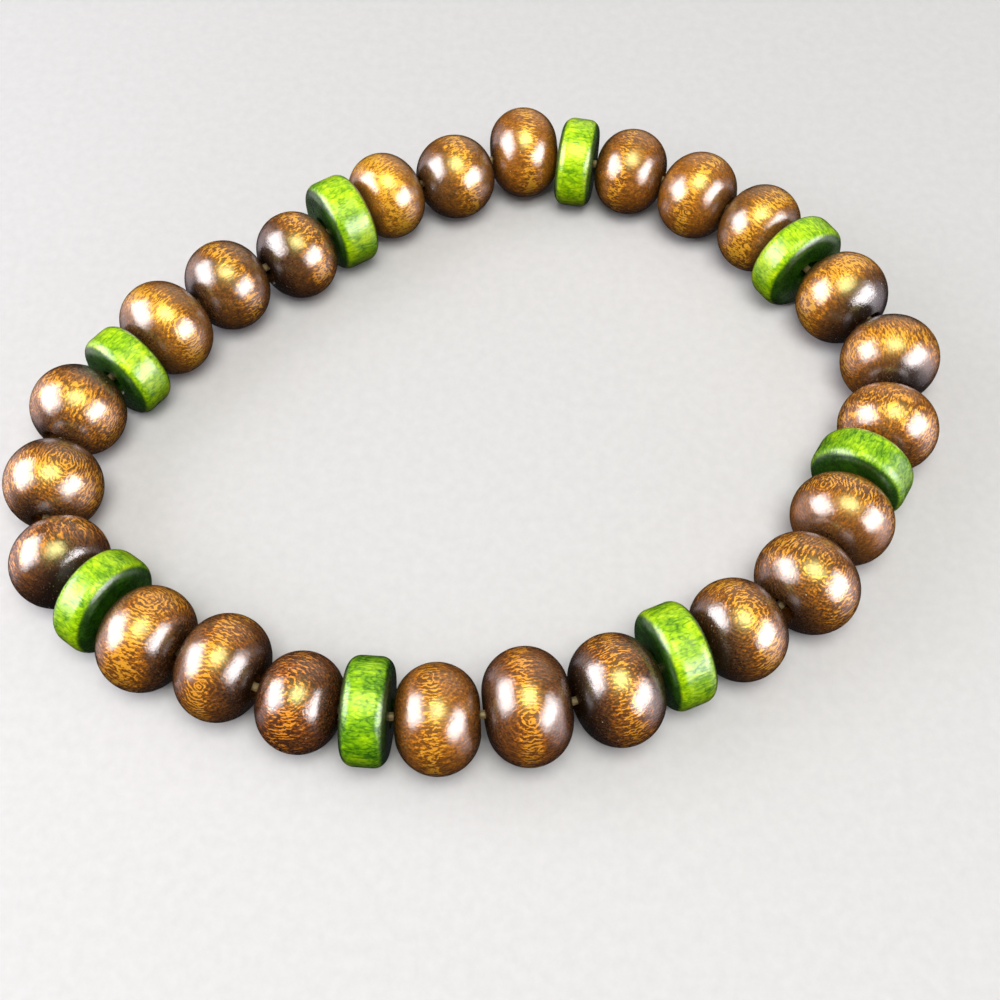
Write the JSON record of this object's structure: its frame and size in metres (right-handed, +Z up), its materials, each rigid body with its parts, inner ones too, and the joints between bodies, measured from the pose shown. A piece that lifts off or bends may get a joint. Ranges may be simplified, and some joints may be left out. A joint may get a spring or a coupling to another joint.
{
  "type": "beaded bracelet",
  "caption": "Stretch bracelet of rounded wooden beads and flat wooden discs, threaded on a hidden elastic cord into a closed loop.",
  "frame": {"origin": "on the surface that the bracelet lies on, under the middle of its bounding box", "axes": "+Z up out of the surface, along the way a hand goes in; +X along the loop's longer side; +Y across it"},
  "size_m": [0.0908, 0.0768, 0.0104],
  "materials": {
    "brown_wood": "lacquered, glossy",
    "green_wood": "dyed and lacquered, glossy",
    "elastic": "clear stretch cord"
  },
  "bodies": {
    "root": {"bead_01": "brown_wood", "disc_1": "green_wood", "bead_02": "brown_wood", "bead_03": "brown_wood", "bead_04": "brown_wood", "disc_2": "green_wood", "bead_05": "brown_wood", "bead_06": "brown_wood", "bead_07": "brown_wood", "disc_3": "green_wood", "bead_08": "brown_wood", "bead_09": "brown_wood", "bead_10": "brown_wood", "disc_4": "green_wood", "bead_11": "brown_wood", "bead_12": "brown_wood", "bead_13": "brown_wood", "disc_5": "green_wood", "bead_14": "brown_wood", "bead_15": "brown_wood", "bead_16": "brown_wood", "disc_6": "green_wood", "bead_17": "brown_wood", "bead_18": "brown_wood", "bead_19": "brown_wood", "disc_7": "green_wood", "bead_20": "brown_wood", "bead_21": "brown_wood", "bead_22": "brown_wood", "disc_8": "green_wood", "bead_23": "brown_wood", "bead_24": "brown_wood", "cord": "elastic"}
  },
  "joints": []
}
